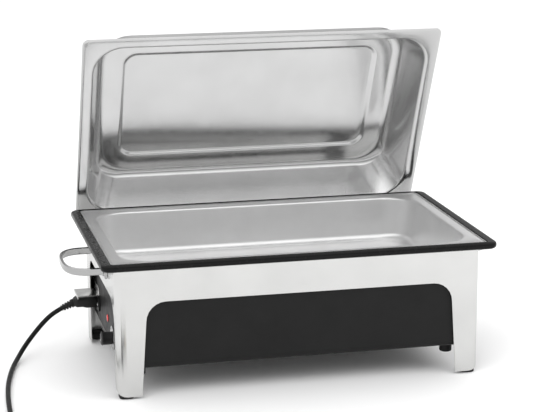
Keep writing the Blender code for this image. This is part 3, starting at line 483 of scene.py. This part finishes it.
def loft(loops, closed_profile=False):
    """Skin a list of (plane points, height) loops into a bmesh."""
    work_mesh = bmesh.new()
    rings = [[work_mesh.verts.new((x, y, height)) for x, y in points] for points, height in loops]
    pairs = list(zip(rings, rings[1:]))
    if closed_profile:
        pairs.append((rings[-1], rings[0]))
    else:
        work_mesh.faces.new(rings[0])
        work_mesh.faces.new(rings[-1])
    for lower, upper in pairs:
        for index in range(len(lower)):
            after = (index + 1) % len(lower)
            work_mesh.faces.new((lower[index], lower[after], upper[after], upper[index]))
    return work_mesh


def with_radius(points, radius):
    """Give each (inset, height) point the corner radius of its loop."""
    return [(inset, height, radius) for inset, height in points]


def offset_profile(profile, thickness):
    """The other face of a sheet."""
    moved = []
    for index, (inset, height, radius) in enumerate(profile):
        normals = []
        for start, end in ((index - 1, index), (index, index + 1)):
            if start < 0 or end >= len(profile):
                continue
            along = (Vector(profile[end][:2]) - Vector(profile[start][:2])).normalized()
            normals.append(Vector((along.y, -along.x)))
        normal = sum(normals, Vector((0.0, 0.0))).normalized()
        there = Vector((inset, height)) + normal * thickness / max(normal.dot(normals[0]), 0.4)
        moved.append((there.x, there.y, max(radius - (there.x - inset), 0.001)))
    return moved


def loops_from_profile(profile, half_x, half_y):
    """Turn (inset, height, corner radius) points into loops inside one outer rectangle."""
    return [(rounded_rectangle(half_x - inset, half_y - inset, radius), height)
            for inset, height, radius in profile]


def add_piece(name, work_mesh, material, body, node=None, smooth_angle=32, bevel=0.0):
    """Make a bmesh a piece of the object, riding on a body, in a node's stead if one is named."""
    bmesh.ops.recalc_face_normals(work_mesh, faces=work_mesh.faces[:])
    mesh = bpy.data.meshes.new(name)
    work_mesh.to_mesh(mesh)
    work_mesh.free()
    mesh.materials.append(material)
    mesh.shade_smooth()
    mesh.set_sharp_from_angle(angle=math.radians(smooth_angle))
    piece = bpy.data.objects.new(name, mesh)
    bpy.context.scene.collection.objects.link(piece)
    if bevel:
        soften = piece.modifiers.new("soft_edges", "BEVEL")
        soften.width = bevel
        soften.segments = 2
        soften.limit_method = "ANGLE"
        soften.angle_limit = math.radians(smooth_angle)
        soften.harden_normals = True
    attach(piece, body)
    if node:
        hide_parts(node)
    return piece


def softened_copy(node, material, body, bevel=0.0002, smooth_angle=32):
    """A node's own shape with joined points, softened edges and smooth round faces."""
    work_mesh = bmesh.new()
    work_mesh.from_mesh(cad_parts[node].data)
    bmesh.ops.remove_doubles(work_mesh, verts=work_mesh.verts[:], dist=0.000002)
    bmesh.ops.dissolve_limit(work_mesh, angle_limit=math.radians(0.5), verts=work_mesh.verts[:],
                             edges=work_mesh.edges[:])
    return add_piece(node + "_detail", work_mesh, material, body, node, smooth_angle, bevel)


def moved(work_mesh, matrix):
    """Move all of a bmesh."""
    bmesh.ops.transform(work_mesh, matrix=matrix, verts=work_mesh.verts[:])
    return work_mesh


def circle(radius, steps=32):
    """Points round a circle."""
    return [(radius * math.cos(2 * math.pi * step / steps), radius * math.sin(2 * math.pi * step / steps))
            for step in range(steps)]


def add_screw(name, place, towards, radius):
    """A domed screw head standing on a surface."""
    dome = [(circle(radius), 0.0), (circle(radius), radius * 0.25), (circle(radius * 0.88), radius * 0.50),
            (circle(radius * 0.60), radius * 0.68), (circle(radius * 0.15), radius * 0.74)]
    work_mesh = loft(dome)
    turn = Vector(towards).to_track_quat("Z", "Y").to_matrix().to_4x4()
    moved(work_mesh, Matrix.Translation(place) @ turn)
    add_piece(name, work_mesh, MATERIALS["pins"], "base", smooth_angle=40)


# ---------------------------------------------------------------- cord

def smooth_points(points, steps):
    """Points along a smooth curve through a route's own points."""
    route = [Vector(point) for point in points]
    fine = []
    for index in range(len(route) - 1):
        before = route[max(index - 1, 0)]
        start, end = route[index], route[index + 1]
        after = route[min(index + 2, len(route) - 1)]
        for step in range(steps):
            t = step / steps
            fine.append(0.5 * (2 * start + (end - before) * t
                               + (2 * before - 5 * start + 4 * end - after) * t ** 2
                               + (3 * start - before - 3 * end + after) * t ** 3))
    fine.append(route[-1])
    return fine


def coil_points():
    """The stored turns: from slot to slot of a coil two columns wide and three rows high."""
    diameter = 2 * CORD_RADIUS
    points = []
    for turned in range(0, COIL_TRAVEL + 1, COIL_STEP):
        number = (turned - COIL_FIRST_CHANGE) / COIL_CHANGE_EVERY
        index = max(min(math.floor(number), len(COIL_PLACES) - 2), -1)
        past_change = turned - COIL_FIRST_CHANGE - index * COIL_CHANGE_EVERY
        share = min(max(past_change / COIL_CHANGE_LENGTH, 0.0), 1.0)
        share = share * share * (3 - 2 * share)
        radius, row = COIL_PLACES[index + 1]
        if index >= 0:
            old_radius, old_row = COIL_PLACES[index]
            radius = old_radius + (radius - old_radius) * share
            row = old_row + (row - old_row) * share
        angle = math.radians(180 + turned)
        points.append(Vector((COIL_MIDDLE[0] + radius * math.cos(angle),
                              COIL_MIDDLE[1] + radius * math.sin(angle),
                              COIL_FIRST_Z + row * diameter)))
    return points


def ribbed_sleeve(node, start, end):
    """The connector's strain relief: a tapered sleeve with round grooves."""
    length = (end - start).length
    loops = [(circle(RELIEF_WIDE), -RELIEF_SUNK)]
    for rib in range(RELIEF_RIBS):
        for share, depth in RELIEF_RIB:
            along = (rib + share) / RELIEF_RIBS
            radius = RELIEF_WIDE + (RELIEF_NARROW - RELIEF_WIDE) * along - RELIEF_GROOVE * depth
            loops.append((circle(radius), along * length))
    loops.append((circle(RELIEF_NARROW), length))
    loops.append((circle(RELIEF_NARROW - 0.0006), length + 0.0010))
    work_mesh = loft(loops)
    turn = (end - start).to_track_quat("Z", "Y").to_matrix().to_4x4()
    moved(work_mesh, Matrix.Translation(start + Vector((0, MIDDLE_Y, 0))) @ turn)
    return add_piece(node + "_detail", work_mesh, MATERIALS["rubber"], "base", node, 50)


def cord_points():
    """The cord's middle line: down from the connector, along the table, round its coil and to the plug."""
    coil = coil_points()
    loose = smooth_points(CORD_ROUTE + (tuple(coil[0]),), 3)[:-1]
    plug_axis_y = COIL_MIDDLE[1] - (COIL_INNER + COIL_OUTER) / 2
    tail = [(COIL_MIDDLE[0] + 0.011, coil[-1].y + 0.0004, coil[-1].z),
            (COIL_MIDDLE[0] + 0.021, plug_axis_y, PLUG_Z), (PLUG_START_X - 0.0003, plug_axis_y, PLUG_Z)]
    return [Vector(point) + Vector((0, MIDDLE_Y, 0)) for point in loose + coil + tail]


def make_cord():
    """The whole cord as one round curve, with the pieces along it."""
    points = cord_points()
    curve = bpy.data.curves.new("supply_cord", "CURVE")
    curve.dimensions = "3D"
    curve.bevel_depth = CORD_RADIUS
    curve.bevel_resolution = 5
    curve.use_fill_caps = True
    curve.resolution_u = 4
    spline = curve.splines.new("NURBS")
    spline.points.add(len(points) - 1)
    for point, place in zip(spline.points, points):
        point.co = (*place, 1.0)
    spline.use_endpoint_u = True
    spline.order_u = 4
    curve.materials.append(MATERIALS["cord"])
    cord = bpy.data.objects.new("supply_cord", curve)
    bpy.context.scene.collection.objects.link(cord)
    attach(cord, "base")
    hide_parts("cord_tube", "cord_coil")
    details = [ribbed_sleeve("connector_strain_relief", Vector(RELIEF_START), Vector(RELIEF_END))]
    for node, material, slot, bevel in ON_THE_CORD:
        details.append(softened_copy(node, MATERIALS[material], "base", bevel))


# ---------------------------------------------------------------- lid

def open_lid_matrix():
    """From the closed lid, with x and y measured from the pan's middle, to the lid at rest."""
    return (Matrix.Translation((0, HINGE_Y, HINGE_Z)) @ Matrix.Rotation(-LID_OPENING, 4, "X")
            @ Matrix.Translation((0, -(HINGE_Y - MIDDLE_Y), -HINGE_Z)))


def make_lid_shell():
    """The domed sheet with its raised panel, round shoulders and hemmed flange."""
    top, flange = LID_DOME_TOP, LID_BOTTOM + LID_SHEET
    shoulder = arc((LID_SHOULDER_INSET, top - LID_SHOULDER_RADIUS), LID_SHOULDER_RADIUS,
                   90, 180 - math.degrees(LID_WALL_LEAN), steps=12)
    corner = LID_OPENING_CORNER
    slope = []
    for share in (1.0, 0.85, 0.7, 0.5, 0.3, 0.15, 0.0):
        rise = LID_PANEL_RISE * (3 - 2 * share) * share ** 2
        slope.append((LID_PANEL_INSET + LID_PANEL_STEP * share, top + rise, 0.024 - 0.006 * share))
    upper = (slope
             + with_radius(shoulder, LID_SHOULDER_CORNER)
             + [(0.0175, flange + 0.0039, corner - 0.002), (0.0165, flange + 0.0021, corner - 0.0015),
                (0.0152, flange + 0.0008, corner - 0.001), (0.0130, flange, corner),
                (0.0050, flange, 0.012)])
    hem = [(0.0048, flange + 0.0007, 0.012), (0.0040, flange + 0.0009, 0.012),
           (0.0010, flange + 0.0009, 0.010), (0.0003, flange + 0.0006, 0.010),
           (0.0, flange, 0.010), (0.0, LID_BOTTOM + 0.0004, 0.010), (0.0004, LID_BOTTOM, 0.010)]
    lower = offset_profile(upper, -LID_SHEET)
    work_mesh = loft(loops_from_profile(upper + hem + lower[::-1], LID_HALF_X, LID_HALF_Y))
    moved(work_mesh, open_lid_matrix())
    add_piece("lid_shell_detail", work_mesh, MATERIALS["lid"], "lid", "lid_shell", smooth_angle=45)


def make_lid_handle():
    """A bent round bar that stands on the lid, with a collar round each foot."""
    bend = LID_HANDLE_BEND
    half = [(LID_HANDLE_HALF, LID_HANDLE_LOW)]
    half += arc((LID_HANDLE_HALF - bend, LID_HANDLE_TOP - bend), bend, 0, 90, steps=12)
    path = half + [(-x, z) for x, z in reversed(half)]
    curve = bpy.data.curves.new("lid_handle_detail", "CURVE")
    curve.dimensions = "3D"
    curve.bevel_depth = LID_HANDLE_RADIUS
    curve.bevel_resolution = 8
    curve.use_fill_caps = True
    spline = curve.splines.new("POLY")
    spline.points.add(len(path) - 1)
    for point, (x, z) in zip(spline.points, path):
        point.co = (*(open_lid_matrix() @ Vector((x, LID_HANDLE_Y, z))), 1.0)
    curve.materials.append(MATERIALS["polished"])
    handle = bpy.data.objects.new("lid_handle_detail", curve)
    bpy.context.scene.collection.objects.link(handle)
    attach(handle, "lid")
    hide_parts("lid_handle")
    for name, x in (("left", -LID_HANDLE_HALF), ("right", LID_HANDLE_HALF)):
        collar = loft([(circle(0.0085), 0.0), (circle(0.0085), 0.0008), (circle(0.0070), 0.0018),
                       (circle(0.0056), 0.0022)])
        moved(collar, open_lid_matrix() @ Matrix.Translation((x, LID_HANDLE_Y, LID_HANDLE_LOW - 0.0001)))
        add_piece("lid_handle_collar_" + name, collar, MATERIALS["polished"], "lid")


# ---------------------------------------------------------------- pans and rim

def make_food_pan():
    """The food pan with smooth corners."""
    half_x, half_y = (PAN_HIGH[0] - PAN_LOW[0]) / 2, (PAN_HIGH[1] - PAN_LOW[1]) / 2
    flange = PAN_HIGH[2] - PAN_SHEET
    floor_bend = arc((PAN_FLOOR_INSET, PAN_LOW[2] + PAN_FLOOR_RADIUS), PAN_FLOOR_RADIUS, 270, 180)
    lip_bend = arc((PAN_LIP_INSET, flange - PAN_LIP_RADIUS), PAN_LIP_RADIUS, 0, 90)
    under = (with_radius(floor_bend, PAN_FLOOR_CORNER)
             + with_radius(lip_bend, PAN_OPENING_CORNER)
             + [(0.0006, flange, PAN_FLANGE_CORNER), (0.0, flange + 0.0004, PAN_FLANGE_CORNER)])
    profile = under + offset_profile(under, PAN_SHEET)[::-1]
    work_mesh = loft(loops_from_profile(profile, half_x, half_y))
    moved(work_mesh, Matrix.Translation((0, MIDDLE_Y, 0)))
    add_piece("food_pan_detail", work_mesh, MATERIALS["pan"], "base", "food_pan", 50)


def rim_step(wider):
    """The outline of the rim's inner step, pushed outwards a little."""
    return rounded_rectangle(RIM_STEP_HALF_X + wider, RIM_STEP_HALF_Y + wider, RIM_STEP_CORNER + wider)


def make_rim():
    """The rim with a round bead and softened inner edges."""
    low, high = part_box("rim_frame")
    half_x, half_y = (high[0] - low[0]) / 2, (high[1] - low[1]) / 2
    lower = arc((RIM_EDGE, RIM_BOTTOM + RIM_EDGE), RIM_EDGE, 270, 180, steps=6)
    upper = arc((RIM_EDGE, RIM_TOP - RIM_EDGE), RIM_EDGE, 180, 90, steps=6)
    outside = [(rounded_rectangle(half_x - inset, half_y - inset, RIM_CORNER - inset * 0.6), height)
               for inset, height in lower + upper]
    hole = rounded_rectangle(RIM_HOLE_HALF_X, RIM_HOLE_HALF_Y, RIM_HOLE_CORNER)
    inside = [(rim_step(0.0008), RIM_TOP), (rim_step(0.0002), RIM_TOP - 0.0003),
              (rim_step(0.0), RIM_TOP - 0.0010), (rim_step(0.0), RIM_LEDGE),
              (hole, RIM_LEDGE), (hole, RIM_BOTTOM)]
    work_mesh = loft(outside + inside, closed_profile=True)
    moved(work_mesh, Matrix.Translation((0, MIDDLE_Y, 0)))
    add_piece("rim_frame_detail", work_mesh, MATERIALS["rim"], "base", "rim_frame", 40)


# ---------------------------------------------------------------- other pieces

SOFTENED = (
    # node, material, body, slot, bevel
    ("stand_front_panel", "sheet", "base", "steel", 0.0002),
    ("stand_rear_panel", "sheet", "base", "steel", 0.0002),
    ("stand_left_band", "sheet", "base", "steel", 0.0002),
    ("stand_right_band", "sheet", "base", "steel", 0.0002),
    ("water_pan", "pan", "base", "steel", 0.0001),
    ("heater_housing", "housing", "base", "black_enamel", 0.0002),
    ("housing_bottom_plate", "housing", "base", "black_enamel", 0.0002),
    ("handle_left", "polished", "base", "polished_steel", 0.0004),
    ("handle_right", "polished", "base", "polished_steel", 0.0004),
    ("drip_guard", "sheet", "base", "polished_steel", 0.0004),
    ("dial_plate", "polished", "base", "steel", 0.0001),
    ("lamp_lens", "lens", "base", "red_lens", 0.0002),
    ("supply_inlet", "plastic", "base", "black_plastic", 0.0003),
    ("thermostat_knob", "plastic", "thermostat_control", "black_plastic", 0.0001),
    ("knob_ring", "dark_chrome", "thermostat_control", "polished_steel", 0.0001),
    ("hinge_arm_left", "pins", "lid", "steel", 0.0004),
    ("hinge_arm_right", "pins", "lid", "steel", 0.0004),
    ("hinge_bracket_left", "pins", "base", "steel", 0.0003),
    ("hinge_bracket_right", "pins", "base", "steel", 0.0003),
    ("hinge_pin_left", "polished", "base", "polished_steel", 0.0003),
    ("hinge_pin_right", "polished", "base", "polished_steel", 0.0003),
    ("foot_front_left", "rubber", "base", "rubber", 0.0005),
    ("foot_front_right", "rubber", "base", "rubber", 0.0005),
    ("foot_rear_left", "rubber", "base", "rubber", 0.0005),
    ("foot_rear_right", "rubber", "base", "rubber", 0.0005),
    ("housing_foot_front_left", "rubber", "base", "rubber", 0.0004),
    ("housing_foot_front_right", "rubber", "base", "rubber", 0.0004),
    ("housing_foot_rear_left", "rubber", "base", "rubber", 0.0004),
    ("housing_foot_rear_right", "rubber", "base", "rubber", 0.0004),
)
PAINTED = (
    # node, material
    ("thermostat_shaft", "brass"),
    ("thermostat_body", "plastic"),
    ("thermostat_sensor", "copper"),
    ("thermostat_capillary", "copper"),
    ("safety_limiter", "plastic"),
    ("lamp_body", "plastic"),
    ("terminal_block", "ceramic"),
    ("wire_live", "brown"),
    ("wire_neutral", "blue"),
    ("inlet_screw_front", "pins"),
    ("inlet_screw_rear", "pins"),
    ("heating_element_front", "element"),
    ("heating_element_rear", "element"),
    ("element_clamp_left", "aluminised"),
    ("element_clamp_right", "aluminised"),
    ("heat_shield", "aluminised"),
)


def make_other_pieces():
    """Softened copies of the outer nodes, and materials on the inner ones."""
    for node, material, body, slot, bevel in SOFTENED:
        softened_copy(node, MATERIALS[material], body, bevel)
    for node, material in PAINTED:
        for mesh_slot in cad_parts[node].material_slots:
            mesh_slot.material = MATERIALS[material]


def left_face_middle(node):
    """The middle of a node's left face."""
    low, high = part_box(node)
    return Vector((low[0], (low[1] + high[1]) / 2, (low[2] + high[2]) / 2))


def add_handle_screws():
    """Two screw heads on each side handle."""
    for side_name, side in (("left", -1), ("right", 1)):
        low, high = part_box("handle_" + side_name)
        for end_name, y in (("front", low[1] + SCREW_FROM_END), ("rear", high[1] - SCREW_FROM_END)):
            place = (side * (STAND_HALF_X + SCREW_STAND_OFF), y, (low[2] + high[2]) / 2)
            add_screw("handle_screw_" + side_name + "_" + end_name, place, (side, 0, 0), SCREW_RADIUS)


def add_dial_marks():
    """Plain strokes round the knob, every fifth one longer."""
    marks = bmesh.new()
    for number in range(DIAL_MARKS):
        angle = math.radians(DIAL_START - DIAL_SPACING * number)
        tick = bmesh.ops.create_cube(marks, size=1.0)["verts"]
        length = LONG_MARK if number % 5 == 0 else SHORT_MARK
        shape = (Matrix.Translation(left_face_middle("dial_plate")) @ Matrix.Rotation(angle, 4, "X")
                 @ Matrix.Translation((-0.00002, 0, DIAL_MARK_RADIUS))
                 @ Matrix.Diagonal((0.00012, 0.0006, length, 1)))
        bmesh.ops.transform(marks, matrix=shape, verts=tick)
    add_piece("dial_marks", marks, MATERIALS["marks"], "base")


def add_knob_pointer():
    """The stroke on the knob's face, at the dial's first mark."""
    pointer = bmesh.new()
    bmesh.ops.create_cube(pointer, size=1.0)
    turn = Matrix.Rotation(math.radians(DIAL_START), 4, "X")
    moved(pointer, Matrix.Translation(left_face_middle("thermostat_knob")) @ turn
          @ Matrix.Translation((-0.00002, 0, 0.0042)) @ Matrix.Diagonal((0.0002, 0.0010, 0.0060, 1)))
    add_piece("knob_pointer", pointer, MATERIALS["pointer"], "thermostat_control")


make_camera()
MATERIALS = make_materials()
make_cord()
make_studio()
make_lid_shell()
make_lid_handle()
make_food_pan()
make_rim()
make_other_pieces()
add_handle_screws()
add_dial_marks()
add_knob_pointer()
